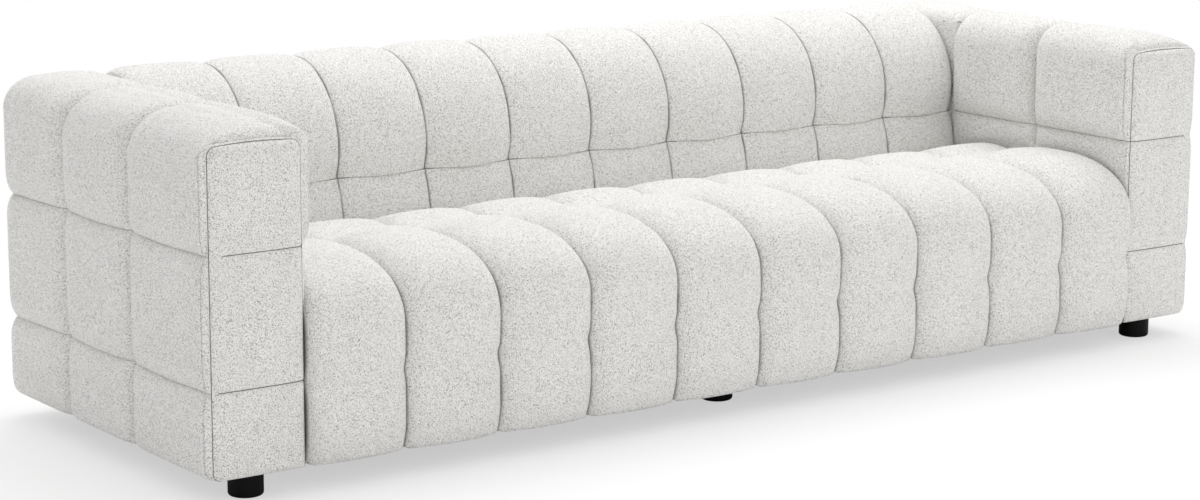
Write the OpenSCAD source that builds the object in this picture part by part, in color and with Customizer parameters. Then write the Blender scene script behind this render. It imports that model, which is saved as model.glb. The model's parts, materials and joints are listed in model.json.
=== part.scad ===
// Straight three-seat sofa with deep channel tufting, square padded arms as high as the back,
// and short black feet. Millimetres; x runs across the sofa, y from front to rear, z up.
// The origin is on the floor, under the middle of the sofa's plan.

/* [Overall] */
// Width between the outer seam planes of the two arms
sofa_w = 2476; // [1900:1:3000]
// Depth between the front and the rear seam planes
sofa_d = 829; // [800:1:940]
// Height of the feet, the clear gap under the body
foot_h = 50; // [35:1:120]
// Height of the bottom row of pillows
bottom_row_h = 161; // [150:1:190]
// Height of the middle row of pillows
middle_row_h = 247; // [240:1:290]
// Height of the top row, up to the top seam of the arm's front panel
top_row_h = 195; // [180:1:260]

/* [Arms] */
// Width of an arm between its seam planes
arm_w = 187; // [175:1:260]
// Length of the front pillow column on the side of an arm
arm_front_col = 305; // [260:1:330]
// Length of the middle pillow column on the side of an arm
arm_mid_col = 268; // [250:1:275]
// Rise of the arm's top seams above the front panel's top seam
arm_rise = 30; // [15:1:45]
// Height of the arm's pillows above their seams
arm_crown = 12; // [6:1:14]
// Radius of the arm's outer top edge
arm_edge_r = 85; // [60:1:95]
// Radius of the arm's inner top edge
arm_inner_r = 60; // [40:1:70]

/* [Seat] */
// Height of the seat's seams above the underside of the body
seat_h = 345; // [325:1:352]
// Number of channels in the seat and in the back
channel_count = 10; // [8:1:14]
// Height of a seat channel above its seams
seat_crown = 28; // [12:1:32]
// Height of the seat's rear row of pillows above their seams
seat_rear_crown = 19; // [8:1:28]
// Height of a channel above its seams on the front of the seat
seat_front_crown = 18; // [8:1:24]
// How far the seat's front seams stand out from the arms' front seam plane
seat_overhang = 13; // [6:1:30]
// Depth of the soft roll along the seat's front edge
seat_roll_d = 200; // [150:1:220]
// Height of that roll
seat_roll_h = 115; // [95:1:125]
// Distance from the back to the row of tufts on the seat
seat_tuft_d = 226; // [190:1:250]

/* [Back] */
// Thickness of the back at its horizontal seam
back_t = 252; // [244:1:262]
// Rise of the back's top seams above the arm panel's top seam
back_rise = 37; // [20:1:55]
// Height of a back channel above its seams
back_crown = 14; // [8:1:18]
// Height of the top and rear pillows above their seams
rear_crown = 20; // [10:1:26]
// Depth of the roll over the back's front top edge
back_roll_d = 167; // [150:1:175]
// Height of that roll
back_roll_h = 176; // [150:1:190]

/* [Frame] */
// Thickness of the hardwood rails
rail_t = 24; // [20:1:30]
// Height of the seat's side rails
seat_rail_h = 150; // [120:1:160]
// Thickness of an arm's posts
arm_post_t = 30; // [24:1:34]
// Height of an arm's bottom rail
base_rail_h = 45; // [38:1:60]
// Depth of the back frame's posts and rails
back_post_d = 42; // [36:1:50]
// Thickness of the plywood board on the inside of an arm
inner_board_t = 12; // [9:1:15]
// Thickness of the fibreboard on the outside of an arm
outer_board_t = 5; // [3:1:6]

/* [Springs] */
// Diameter of the spring wire
wire_d = 3.6; // [3:0.1:4]
// Distance between the sinuous springs
spring_gap = 150; // [120:1:200]
// Width of a spring over its loops
spring_w = 52; // [44:1:60]
// Distance between two neighbouring bars of a spring
spring_pitch = 25; // [22:1:30]

/* [Feet] */
// Diameter of a foot
foot_d = 66; // [56:1:80]
// Radius of a foot's bottom edge
foot_edge_r = 6; // [2:1:10]
// Distance from the arm's seam plane in to the middle of a rear foot
rear_foot_in = 132; // [126:1:140]
// Distance from the front seam plane back to the middle of a front foot
front_foot_in = 60; // [56:1:120]
// Diameter of a foot's threaded stud
stud_d = 10; // [8:1:10]

/* [Bolts] */
// Diameter of the bolts between the units
bolt_d = 8; // [6:1:8]
// Diameter of a bolt's head
bolt_head_d = 14; // [12:1:16]

/* [Hidden] */
$fn = 48;

// clearances and small sizes
fit = 0.3;
slip = 0.5;
thread_fit = 0.05;
cut = 20;
unit_gap = 3;

// shapes of the pillows
flat_share = 0.36;
pillow_power = 2;
soft_share = 0.35;
side_seam_share = 0.3;
tuft_depth = 5;
tuft_reach = 70;
rear_fall = 205;
rear_drop = 33;
strip_crown = 8;
back_lean = 17;
top_crown = 10;
bottom_share = 0.35;
back_swell = 60;
tuck_h = 80;
foot_tuck = 13;
arm_inner_crown = 14;
arm_strip_crown = 8;
arm_strip_gap = 3;
arm_roll_d = 100;
panel_t = 12;
panel_edge = 4;
panel_crown = 10;
panel_r = 18;
panel_arch = 3;
side_inner_r = 14;
rear_edge_r = 85;
rear_tighten_share = 0.6;
rear_cap_shares = [0.35, 0.75];
rear_cap_ease_share = 0.5;
panel_shares = [0.08, 0.3, 0.7, 0.92];
channel_shares = [0, 0.1, 0.32, 0.68, 0.9];
row_shares = [0, 0.15, 0.5, 0.85];
column_shares = [0, 0.12, 0.35, 0.65, 0.88];
front_shares = [0, 0.04, 0.12, 0.32, 0.65, 0.88];
rear_column_shares = [0, 0.15, 0.5];
seat_top_shares = [0, 0.2, 0.55];
seat_front_shares = [0, 0.6];
bottom_row_shares = [0, 0.2, 0.5, 0.8, 1];
rise_shares = [0, 0.25, 0.6];
rear_fall_shares = [0, 0.4, 0.8, 1];
inner_fall_shares = [0.4, 0.75];
inner_strip_shares = [0, 0.2, 0.5, 0.8, 1];
inner_low_shares = [0.25, 0.5, 0.75, 1];

// wadding between a cover's seams and what it covers
seat_pad_t = 40;
end_pad_t = 12;
arm_outer_pad_t = 30;
arm_inner_pad_t = 20;
arm_top_pad_t = 58;
arm_rear_pad_t = 45;
back_pad_t = 45;
back_top_pad_t = 48;
back_rear_pad_t = 30;
seat_foam_r = 70;
back_foam_r = 120;
arm_foam_t = 30;
back_foam_t = 30;
felt_t = 6;
dust_t = 1.5;
rear_board_t = 3;

// small parts
web_t = 2;
web_w = 60;
tie_d = 2.4;
tie_fit = 0.1;
clip_t = 1.2;
clip_w = 18;
clip_l = 16;
clip_top_l = 12;
clip_end = 6;
block_l = 70;
block_h = 60;
nut_flange_t = 1.5;
nut_flange_d = 22;
nut_wall = 1.5;
nut_l = 10;
washer_t = 1.6;
washer_d = 20;
bolt_head_h = 5;
bolt_past = 6;
socket_d = 5;
socket_h = 3;
stud_in_foot = 30;
stud_past = 6;
cross_rail_w = 60;
cross_rail_count = 3;
centre_foot_share = 0.3;
mid_post_count = 2;
bolt_y_shares = [0.25, 0.75];
bolt_z_shares = [0.2, 0.8];
tie_shares = [1 / 3, 2 / 3];

// levels
z_base = foot_h;
z_low = z_base + bottom_row_h;
z_high = z_low + middle_row_h;
z_panel = z_high + top_row_h;
z_arm = z_panel + arm_rise;
z_back = z_panel + back_rise;
z_seat = z_base + seat_h;
z_join = z_seat - rear_drop;
z_floor = z_base + dust_t;
z_crown = z_back + top_crown;
z_side = z_seat + arm_strip_gap;

// front to rear
front_reach = seat_overhang + seat_front_crown;
y_front = front_reach - (front_reach + sofa_d + rear_crown) / 2;
y_rear = y_front + sofa_d;
y_back = y_rear - back_t;
y_join = y_back - back_lean;
y_tuft = y_join - seat_tuft_d;
y_seat_front = y_front - seat_overhang;
y_roll = y_seat_front + seat_roll_d;
rear_roll = back_t - back_roll_d;
y_panel = y_front + panel_t;
y_arm_seam = y_front + arm_front_col;
y_arm_corner = y_arm_seam + arm_mid_col;

// across
x_out = sofa_w / 2;
x_in = x_out - arm_w;
seat_w = 2 * (x_in - unit_gap);
pitch = seat_w / channel_count;

// room inside the covers
room_w = seat_w - 2 * end_pad_t;
y_seat_room = y_seat_front + seat_pad_t;
z_seat_room = z_seat - seat_pad_t;
y_back_room = y_back + back_pad_t;
z_back_room = z_back - back_top_pad_t;
y_rear_room = y_rear - back_rear_pad_t;
x_arm_out = x_out - arm_outer_pad_t;
x_arm_in = x_in + arm_inner_pad_t;
arm_room_w = x_arm_out - x_arm_in;
y_arm_rear = y_rear - arm_rear_pad_t;
z_arm_room = z_arm - arm_top_pad_t;
z_arm_frame = z_arm_room - arm_foam_t;
arm_frame_w = arm_room_w - inner_board_t - outer_board_t - 2 * fit;
x_arm_frame = x_arm_in + inner_board_t + fit;
arm_room_l = y_arm_rear - y_panel;
y_back_bolt = y_arm_rear - nut_flange_d / 2 - slip;
y_rear_arm_post = y_back_bolt - nut_flange_d / 2 - slip - arm_post_t;

// seat frame and springs
y_rail_front = y_seat_room + fit;
y_rail_rear = y_join - unit_gap;
z_rail = z_floor + seat_rail_h;
z_wire = z_rail + clip_t + wire_d / 2 + tie_fit;
spring_room = y_rail_rear - y_rail_front - 2 * rail_t;
loop_count = 2 * floor((spring_room + rail_t) / spring_pitch / 2);
spring_l = loop_count * spring_pitch;
spring_y = (y_rail_front + y_rail_rear - spring_l) / 2;
spring_count = floor((room_w - spring_w) / spring_gap);
z_tie = z_wire + wire_d / 2 + tie_fit + tie_d / 2;
z_felt = z_tie + tie_d / 2 + tie_fit;
z_foam = z_felt + felt_t;

// back frame
y_post = y_rear_room - rear_board_t - back_post_d;
z_post = z_back_room - back_foam_t;
z_tuck = z_join - tuck_h;
post_w = back_post_d;

// feet
x_front_foot = x_arm_frame + arm_frame_w / 2;
x_rear_foot = x_out - rear_foot_in;
y_front_foot = y_front + front_foot_in;
y_rear_foot = y_arm_rear - arm_post_t - foot_d;
y_centre_foot = (y_rail_front + y_rail_rear) / 2;
centre_foot_d = (y_rail_rear - y_rail_front) * centre_foot_share;
foot_places = [
    [-x_front_foot, y_front_foot],
    [x_front_foot, y_front_foot],
    [-x_rear_foot, y_rear_foot],
    [x_rear_foot, y_rear_foot],
    [0, y_centre_foot - centre_foot_d],
    [0, y_centre_foot + centre_foot_d],
];

// bolts from the seat and the back into an arm: y and z of each
bolt_places = concat(
    [for (s = bolt_y_shares)
        [y_rail_front + s * (y_rail_rear - y_rail_front), z_floor + seat_rail_h / 2]],
    [for (s = bolt_z_shares)
        [y_back_bolt, z_floor + s * (z_post - z_floor)]]
);

// colours
fabric = [0.90, 0.89, 0.87];
wadding = [0.95, 0.94, 0.92];
hardwood = [0.80, 0.66, 0.46];
plywood = [0.84, 0.72, 0.54];
fibreboard = [0.62, 0.48, 0.33];
foam = [0.93, 0.88, 0.62];
steel = [0.72, 0.73, 0.75];
spring_steel = [0.42, 0.43, 0.45];
webbing = [0.20, 0.20, 0.22];
felt = [0.55, 0.54, 0.52];
black = [0.06, 0.06, 0.06];

// Height of a pillow at a share of its length: 0 at both seams, 1 over its flat middle.
function puff(share, power = pillow_power) =
    1 - pow(max(0, (abs(2 * share - 1) - flat_share) / (1 - flat_share)), power);

// Rise from 0 at an edge to 1 at a distance inwards.
function ease(distance, reach) = 1 - pow(1 - min(1, max(0, distance / reach)), 2);

// Depth of the soft valley beside a row of tufts: 1 on the row, 0 out of its reach.
function valley(distance) = pow(max(0, 1 - abs(distance) / tuft_reach), 2);

// Two triangles for each step between two equally long rows of point numbers.
function strip(a, b) = [
    for (k = [0:len(a) - 2], side = [0, 1])
        let (t = side == 0 ? [a[k], a[k + 1], b[k + 1]] : [a[k], b[k + 1], b[k]])
            if (t[0] != t[1] && t[1] != t[2] && t[2] != t[0]) t
];

// Point numbers of ring i where each ring has n points.
function ring(i, n) = [for (k = [0:n - 1]) i * n + k];
function closed_ring(i, n) = concat(ring(i, n), [i * n]);

// A solid lofted through closed rings, with both ends fanned from a hub point.
module loft(rings, first_hub, last_hub) {
    n = len(rings[0]);
    last = len(rings) - 1;
    points = concat([for (r = rings, p = r) p], [first_hub, last_hub]);
    hub = (last + 1) * n;
    first_end = closed_ring(0, n);
    last_end = closed_ring(last, n);
    polyhedron(points, concat(
        [for (i = [0:last - 1], t = strip(closed_ring(i + 1, n), closed_ring(i, n))) t],
        [for (k = [0:n - 1]) [first_end[k], first_end[k + 1], hub]],
        [for (k = [0:n - 1]) [last_end[k + 1], last_end[k], hub + 1]]
    ));
}

// A row of channels across the sofa. Each station along the section is
// [y, z, outward y, outward z, crown, sink]; the roots close the section.
module channels(stations, roots, hub) {
    rings = [
        for (c = [0:channel_count], s = c < channel_count ? channel_shares : [0])
            let (x = (c + s) * pitch - seat_w / 2, up = puff(s))
                concat(
                    [for (p = stations)
                        let (rise = p[4] * up - p[5] * (1 - up))
                            [x, p[0] + p[2] * rise, p[1] + p[3] * rise]],
                    [for (r = roots) [x, r[0], r[1]]]
                )
    ];
    loft(rings, [-seat_w / 2, hub[0], hub[1]], [seat_w / 2, hub[0], hub[1]]);
}

// Stations over the seat, from the back to the front bottom edge.
function seat_stations() = concat(
    [for (s = column_shares)
        let (d = s * seat_tuft_d, v = valley(seat_tuft_d - d), e = ease(d, rear_fall))
            [y_join - unit_gap - s * (seat_tuft_d - unit_gap), z_join + rear_drop * e, 0, 1,
                seat_rear_crown * e * (1 - soft_share * v), tuft_depth * v]],
    [for (s = seat_top_shares)
        let (y = y_tuft - s * (y_tuft - y_roll), v = valley(y_tuft - y))
            [y, z_seat, 0, 1, seat_crown * (1 - soft_share * v), tuft_depth * v]],
    [for (a = [0:18:72])
        let (e = sin(a))
            [y_roll - seat_roll_d * e, z_seat - seat_roll_h * (1 - cos(a)), -e, cos(a),
                seat_front_crown + (seat_crown - seat_front_crown) * cos(a), 0]],
    [for (s = seat_front_shares)
        let (z = z_seat - seat_roll_h - s * (z_seat - seat_roll_h - z_low), v = valley(z - z_low))
            [y_seat_front, z, -1, 0, seat_front_crown * (1 - soft_share * v), tuft_depth * v]],
    [for (s = bottom_row_shares)
        let (z = z_low - s * (z_low - z_base), v = valley(z - z_low), f = valley(z - z_base))
            [y_seat_front + foot_tuck * f, z, -1, 0,
                seat_front_crown * (1 - soft_share * max(v, f)), tuft_depth * v]]
);

// A section drawn in y and z, extruded over a width about the middle of the sofa.
module across(w) translate([-w / 2, 0, 0]) rotate([90, 0, 90]) linear_extrude(w) children();

// Room for the seat's frame, springs and foam, grown by a margin. Behind the tufts its top falls
// with the seat's seams.
module seat_room(w, margin, z_from) {
    r = seat_foam_r + margin;
    y0 = y_seat_room - margin;
    z1 = z_seat_room + margin;
    y1 = y_join + (margin < 0 ? -unit_gap : cut);
    across(w)
        polygon(concat(
            [[y1, z_from], [y0, z_from]],
            [for (a = [0:7.5:90]) [y0 + r - r * cos(a), z1 - r + r * sin(a)]],
            [[y_tuft, z1], [y1, z1 - rear_drop * (y1 - y_tuft) / seat_tuft_d]]
        ));
}

module seat_cover() color(fabric)
    difference() {
        channels(seat_stations(), [[y_join - unit_gap, z_base]], [y_tuft, z_low]);
        seat_room(room_w, 0, z_base - cut);
        bolt_holes(bolt_d + 2 * slip);
    }

module seat_foam() color(foam)
    seat_room(room_w - 2 * fit, -fit, z_foam);

// Stations of the back's cover, from the tuck behind the seat over the top to the rear seam.
function back_stations() = concat(
    [[y_join, z_tuck, -1, 0, 0, 0]],
    [for (s = row_shares)
        [y_join + s * back_lean, z_join + s * (z_high - z_join), -1, 0,
            strip_crown * puff(s), 0]],
    [for (s = rise_shares)
        let (z = z_high + s * (z_back - back_roll_h - z_high))
            [y_back, z, -1, 0, back_crown * ease(z - z_high, back_swell), 0]],
    [for (a = [0:18:72])
        [y_back + back_roll_d * (1 - cos(a)), z_back - back_roll_h * (1 - sin(a)),
            -cos(a), sin(a), back_crown + (z_crown - z_back - back_crown) * sin(a), 0]],
    [for (a = [0:30:60])
        [y_rear - rear_roll * (1 - sin(a)), z_back - rear_roll * (1 - cos(a)), sin(a), cos(a),
            z_crown - z_back + (rear_crown - z_crown + z_back) * sin(a), 0]],
    [for (s = rear_fall_shares)
        let (z = z_back - rear_roll - s * (z_back - rear_roll - z_high))
            [y_rear, z, 1, 0, rear_crown * ease(z - z_high, back_swell), 0]]
);

module back_room(w, margin, z_from) {
    r = back_foam_r + margin;
    y0 = y_back_room - margin;
    z1 = z_back_room + margin;
    y1 = y_rear_room + margin;
    across(w)
        polygon(concat(
            [[y1, z_from], [y0, z_from]],
            [for (a = [0:7.5:90]) [y0 + r - r * cos(a), z1 - r + r * sin(a)]],
            [[y1, z1]]
        ));
}

module back_cover() color(fabric)
    difference() {
        channels(back_stations(), [[y_post, z_high], [y_post, z_tuck]],
            [y_back_room, z_high + back_swell]);
        back_room(room_w, 0, z_base - cut);
        bolt_holes(bolt_d + 2 * slip);
    }

module back_foam() color(foam)
    difference() {
        back_room(room_w - 2 * fit, -fit, z_tuck);
        translate([-sofa_w / 2, y_post - web_t, z_base])
            cube([sofa_w, sofa_d, z_post - z_base]);
    }

// Stations of the two lower rows of the back's rear cover.
function rear_stations() = concat(
    [for (s = row_shares)
        [y_rear, z_high - fit - s * (z_high - fit - z_low), 1, 0, rear_crown * puff(s), 0]],
    [for (s = row_shares) [y_rear, z_low - s * (z_low - z_base), 1, 0, rear_crown * puff(s), 0]],
    [[y_rear, z_base, 1, 0, rear_crown * bottom_share, 0]]
);

module back_rear_cover() color(fabric)
    channels(rear_stations(), [[y_rear_room, z_base], [y_rear_room, z_high - fit]],
        [(y_rear_room + y_rear) / 2, z_low]);

// Half of an arm's section: the outer side and its top edge, as [x, z, outward x, outward z, crown].
function arm_outer(top, r, inset) = concat(
    [for (row = [[z_base, z_low], [z_low, z_high]], s = row_shares)
        [x_out - inset, row[0] + s * (row[1] - row[0]), 1, 0,
            arm_crown * max(puff(s), row[0] == z_base && s == 0 ? bottom_share : 0)]],
    [for (s = rise_shares)
        let (z = z_high + s * (top - r - z_high))
            [x_out - inset, z, 1, 0, arm_crown * ease(z - z_high, back_swell)]],
    [for (a = [0:22.5:90])
        [x_out - inset - r * (1 - cos(a)), top - r * (1 - sin(a)), cos(a), sin(a), arm_crown]]
);

// The other half beside the seat, with its pillows above the seat.
function arm_inner(top, r) = concat(
    [for (a = [90:-22.5:0])
        [x_in + r * (1 - cos(a)), top - r * (1 - sin(a)), -cos(a), sin(a),
            arm_inner_crown + (arm_crown - arm_inner_crown) * sin(a)]],
    [for (s = inner_fall_shares)
        let (z = top - r - s * (top - r - z_high))
            [x_in, z, -1, 0, arm_inner_crown * ease(z - z_high, back_swell)]],
    [for (s = inner_strip_shares)
        [x_in, z_high - s * (z_high - z_side), -1, 0, arm_strip_crown * puff(s)]],
    [for (s = inner_low_shares) [x_in, z_side - s * (z_side - z_base), -1, 0, 0]]
);

// The other half where it lies flat against the back, at the heights of the outer half.
function arm_flat(top, r, outer) = concat(
    [for (a = [90:-22.5:0])
        [x_in + r * (1 - cos(a)), top - r * (1 - sin(a)), -cos(a), sin(a), arm_crown * sin(a)]],
    [for (j = [len(outer) - 6:-1:0]) [x_in, outer[j][1], -1, 0, 0]]
);

function arm_middle(top, outer, inner) =
    [(outer[len(outer) - 1][0] + inner[0][0]) / 2, top + panel_arch, 0, 1, arm_crown];

// Share of a pillow's crown at a share of a column: drawn right in at a hard seam end.
function column(s, hard_start, hard_end) =
    (s < 0.5 ? hard_start : hard_end) ? puff(s) : side_seam_share + (1 - side_seam_share) * puff(s);

// One ring of an arm beside the seat.
function arm_ring(y, e, outer_up, inner_up) =
    let (
        top = z_panel + arm_rise * e,
        outer = arm_outer(top, panel_r + (arm_edge_r - panel_r) * e, 0),
        inner = arm_inner(top, panel_r + (arm_inner_r - panel_r) * e),
        half = concat(outer, [arm_middle(top, outer, inner)])
    )
    concat(
        [for (p = half) [p[0] + p[2] * p[4] * outer_up, y, p[1] + p[3] * p[4] * outer_up]],
        [for (p = inner)
            let (up = inner_up + (outer_up - inner_up) * p[3])
                [p[0] + p[2] * p[4] * up, y, p[1] + p[3] * p[4] * up]]
    );

// One ring of an arm beside the back, turned by an angle round the rear edge.
function arm_rear_ring(y, turn, up) =
    let (
        inset = rear_edge_r * (1 - cos(turn)),
        top = z_arm - inset,
        outer = arm_outer(top, arm_edge_r - rear_tighten_share * inset, inset),
        inner = arm_flat(top, side_inner_r, outer),
        half = concat(outer, [arm_middle(top, outer, inner)]),
        back_up = sin(turn) * rear_crown / arm_crown
    )
    concat(
        [for (p = half)
            [p[0] + p[2] * p[4] * up * cos(turn),
                y + rear_edge_r * sin(turn) + p[4] * back_up,
                p[1] + p[3] * p[4] * up * cos(turn)]],
        [for (p = inner)
            [p[0], y + rear_edge_r * sin(turn), p[1] + p[3] * p[4] * up * cos(turn)]]
    );

// A sleeve of rings that stand open on the floor side, with an end cap of in-between columns
// on its first and last ring. Each cap column has one point for each point of half a ring.
module sleeve(rings, first_cap, last_cap) {
    n = len(rings[0]);
    h = (n - 1) / 2;
    last = len(rings) - 1;
    start = (last + 1) * n;
    points = concat([for (r = rings, p = r) p], [for (c = first_cap, p = c) p],
        [for (c = last_cap, p = c) p]);
    function cap_columns(i, cap, from) = concat(
        [[for (j = [0:h]) i * n + j]],
        [for (c = [0:1:len(cap) - 1])
            concat([for (j = [0:h - 1]) from + c * h + j], [i * n + h])],
        [[for (j = [0:h]) i * n + 2 * h - j]]
    );
    function cap_faces(columns) = concat(
        [for (c = [0:len(columns) - 2], t = strip(columns[c], columns[c + 1])) t],
        [for (c = [1:1:len(columns) - 2]) [columns[0][0], columns[c][0], columns[c + 1][0]]]
    );
    function turned(faces) = [for (t = faces) [t[2], t[1], t[0]]];
    polyhedron(points, concat(
        [for (i = [0:last - 1], t = strip(ring(i, n), ring(i + 1, n))) t],
        strip([for (i = [0:last]) i * n], [for (i = [0:last]) i * n + 2 * h]),
        turned(cap_faces(cap_columns(0, first_cap, start))),
        cap_faces(cap_columns(last, last_cap, start + len(first_cap) * h))
    ));
}

module arm_form() {
    front_l = y_arm_seam - y_panel;
    rear_l = y_rear - rear_edge_r - y_arm_corner;
    rings = concat(
        [for (s = front_shares)
            let (d = s * front_l, e = sqrt(1 - pow(1 - min(1, d / arm_roll_d), 2)))
                arm_ring(y_panel + d, e, column(s, true, false), column(s, true, false))],
        [for (s = column_shares)
            arm_ring(y_arm_seam + s * arm_mid_col, 1, column(s, false, false),
                column(s, false, true))],
        [for (s = rear_column_shares)
            arm_rear_ring(y_arm_corner + s * rear_l, 0, column(s, false, false))],
        [for (a = [0:22.5:90]) arm_rear_ring(y_rear - rear_edge_r, a, 1)]
    );
    end = rings[len(rings) - 1];
    h = (len(end) - 1) / 2;
    rear_cap = [
        for (s = rear_cap_shares)
            [for (j = [0:h - 1])
                let (a = end[j], b = end[2 * h - j])
                    [a[0] + s * (b[0] - a[0]),
                        y_rear + (a[1] - y_rear) * ease(1 - s, rear_cap_ease_share),
                        a[2] + s * (b[2] - a[2])]]
    ];
    sleeve(rings, [], rear_cap);
}

module arm_cover() color(fabric)
    difference() {
        arm_form();
        translate([x_arm_in, y_panel - cut, z_base - cut])
            cube([arm_room_w, arm_room_l + cut, z_arm_room - z_base + cut]);
        bolt_holes(bolt_d + 2 * slip);
    }

module arm_front_cover() color(fabric) {
    outer = arm_outer(z_panel, panel_r, 0);
    inner = arm_flat(z_panel, panel_r, outer);
    outline = concat(outer, [arm_middle(z_panel, outer, inner)], inner);
    rings = [for (y = [y_front + panel_edge, y_panel]) [for (p = outline) [p[0], y, p[1]]]];
    h = len(outer);
    face = [
        for (s = panel_shares)
            [for (j = [0:h - 1])
                let (a = outline[j], b = outline[2 * h - j])
                    [a[0] + s * (b[0] - a[0]),
                        y_front + panel_edge - puff(s) * (panel_edge + panel_crown * a[4] / arm_crown),
                        a[1] + s * (b[1] - a[1])]]
    ];
    sleeve(rings, face, []);
}

module arm_foam() color(foam)
    translate([x_arm_in + fit, y_panel + fit, z_arm_frame])
        cube([arm_room_w - 2 * fit, arm_room_l - 2 * fit, arm_foam_t - fit]);

// Holes along x for the bolts between the units, all the way across the arm's inner side.
module bolt_holes(d) {
    for (p = bolt_places, side = [-1, 1])
        translate([side > 0 ? room_w / 2 - rail_t - cut : -x_arm_in - inner_board_t - cut, p[0], p[1]])
            rotate([0, 90, 0])
                cylinder(h = x_arm_in + inner_board_t - room_w / 2 + rail_t + 2 * cut, d = d);
}

module both_sides(side) mirror([side < 0 ? 1 : 0, 0, 0]) children();

// Frame of an arm: boards on both sides of two posts and two rails.
module arm_inner_board() color(plywood)
    difference() {
        translate([x_arm_in, y_panel + fit, z_floor])
            cube([inner_board_t, arm_room_l - 2 * fit, z_arm_frame - z_floor]);
        bolt_holes(bolt_d + 2 * nut_wall + 2 * thread_fit);
    }

module arm_outer_board() color(fibreboard)
    translate([x_arm_out - outer_board_t, y_panel + fit, z_floor])
        cube([outer_board_t, arm_room_l - 2 * fit, z_arm_frame - z_floor]);

module arm_bottom_rail() color(hardwood)
    difference() {
        translate([x_arm_frame, y_panel + fit, z_floor])
            cube([arm_frame_w, arm_room_l - 2 * fit, base_rail_h]);
        stud_holes(stud_d + 2 * nut_wall + 2 * thread_fit);
    }

module arm_top_rail() color(hardwood)
    translate([x_arm_frame, y_panel + fit, z_arm_frame - arm_post_t])
        cube([arm_frame_w, arm_room_l - 2 * fit, arm_post_t]);

module arm_post(y) color(hardwood)
    translate([x_arm_frame, y, z_floor + base_rail_h])
        cube([arm_frame_w, arm_post_t, z_arm_frame - arm_post_t - z_floor - base_rail_h]);

// Frame of the seat.
module seat_rail(y) color(hardwood)
    translate([-room_w / 2 + fit, y, z_floor])
        cube([room_w - 2 * fit, rail_t, seat_rail_h]);

module seat_end_rail() color(hardwood)
    difference() {
        translate([room_w / 2 - fit - rail_t, y_rail_front + rail_t, z_floor])
            cube([rail_t, y_rail_rear - y_rail_front - 2 * rail_t, seat_rail_h]);
        bolt_holes(bolt_d + 2 * slip);
    }

module seat_cross_rails() color(hardwood)
    difference() {
        for (k = [1:cross_rail_count])
            translate([
                -room_w / 2 + k * room_w / (cross_rail_count + 1) - cross_rail_w / 2,
                y_rail_front + rail_t,
                z_floor
            ])
                cube([cross_rail_w, y_rail_rear - y_rail_front - 2 * rail_t, base_rail_h]);
        stud_holes(stud_d + 2 * nut_wall + 2 * thread_fit);
    }

module seat_corner_blocks() color(hardwood)
    for (sx = [0, 1], sy = [0, 1])
        mirror([sx, 0, 0])
            translate([
                room_w / 2 - fit - rail_t,
                sy == 0 ? y_rail_front + rail_t : y_rail_rear - rail_t,
                z_floor
            ])
                linear_extrude(block_h)
                    polygon([[0, 0], [-block_l, 0], [0, sy == 0 ? block_l : -block_l]]);

// Half of a flat ring, on the far side of y = 0.
module half_turn()
    difference() {
        circle(d = spring_pitch + wire_d);
        circle(d = spring_pitch - wire_d);
        translate([-spring_pitch, -2 * spring_pitch])
            square(2 * spring_pitch);
    }

// One sinuous spring: bars across, joined by half turns on alternate sides.
module sinuous_spring() {
    bar = spring_w - spring_pitch;
    translate([0, 0, -wire_d / 2])
        linear_extrude(wire_d) {
            for (k = [0:loop_count])
                translate([-bar / 2, k * spring_pitch - wire_d / 2])
                    square([bar, wire_d]);
            for (k = [0:loop_count - 1])
                translate([(k % 2 == 0 ? 1 : -1) * bar / 2, (k + 0.5) * spring_pitch])
                    rotate(k % 2 == 0 ? -90 : 90)
                        half_turn();
        }
}

function spring_x(k) = (k - (spring_count - 1) / 2) * spring_gap;

module seat_springs() color(spring_steel)
    for (k = [0:spring_count - 1])
        translate([spring_x(k), spring_y, z_wire])
            sinuous_spring();

// A clip nailed on a rail: its plate lies under the spring's last bar and folds back over it.
module spring_clip() {
    bend = wire_d / 2 + tie_fit;
    translate([-clip_w / 2, 0, 0])
        rotate([90, 0, 90])
            linear_extrude(clip_w)
                polygon([
                    [clip_end - clip_l, -bend - clip_t],
                    [bend + clip_t, -bend - clip_t],
                    [bend + clip_t, bend + clip_t],
                    [clip_end - clip_top_l, bend + clip_t],
                    [clip_end - clip_top_l, bend],
                    [bend, bend],
                    [bend, -bend],
                    [clip_end - clip_l, -bend],
                ]);
}

module spring_clips() color(steel)
    for (k = [0:spring_count - 1], far = [0, 1])
        translate([spring_x(k), spring_y + far * spring_l, z_wire])
            rotate([0, 0, far * 180])
                spring_clip();

module spring_tie_wires() color(spring_steel)
    for (s = tie_shares)
        translate([-room_w / 2 + fit, spring_y + s * spring_l, z_tie])
            rotate([0, 90, 0])
                cylinder(h = room_w - 2 * fit, d = tie_d);

module seat_felt() color(felt)
    translate([-room_w / 2 + fit, y_rail_front, z_felt])
        cube([room_w - 2 * fit, y_rail_rear - y_rail_front, felt_t]);

// Frame of the back.
module back_post(x) color(hardwood)
    translate([x, y_post, z_floor])
        cube([post_w, back_post_d, z_post - z_floor]);

module back_end_post() color(hardwood)
    difference() {
        back_post(room_w / 2 - fit - post_w);
        bolt_holes(bolt_d + 2 * slip);
    }

module back_mid_posts()
    for (k = [1:mid_post_count])
        back_post(-room_w / 2 + k * room_w / (mid_post_count + 1) - post_w / 2);

module back_rails(z) color(hardwood) {
    bay = room_w / (mid_post_count + 1);
    for (k = [0:mid_post_count])
        let (
            x0 = -room_w / 2 + k * bay + (k == 0 ? fit + post_w : post_w / 2),
            x1 = -room_w / 2 + (k + 1) * bay - (k == mid_post_count ? fit + post_w : post_w / 2)
        )
            translate([x0, y_post, z])
                cube([x1 - x0, back_post_d, post_w]);
}

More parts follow.
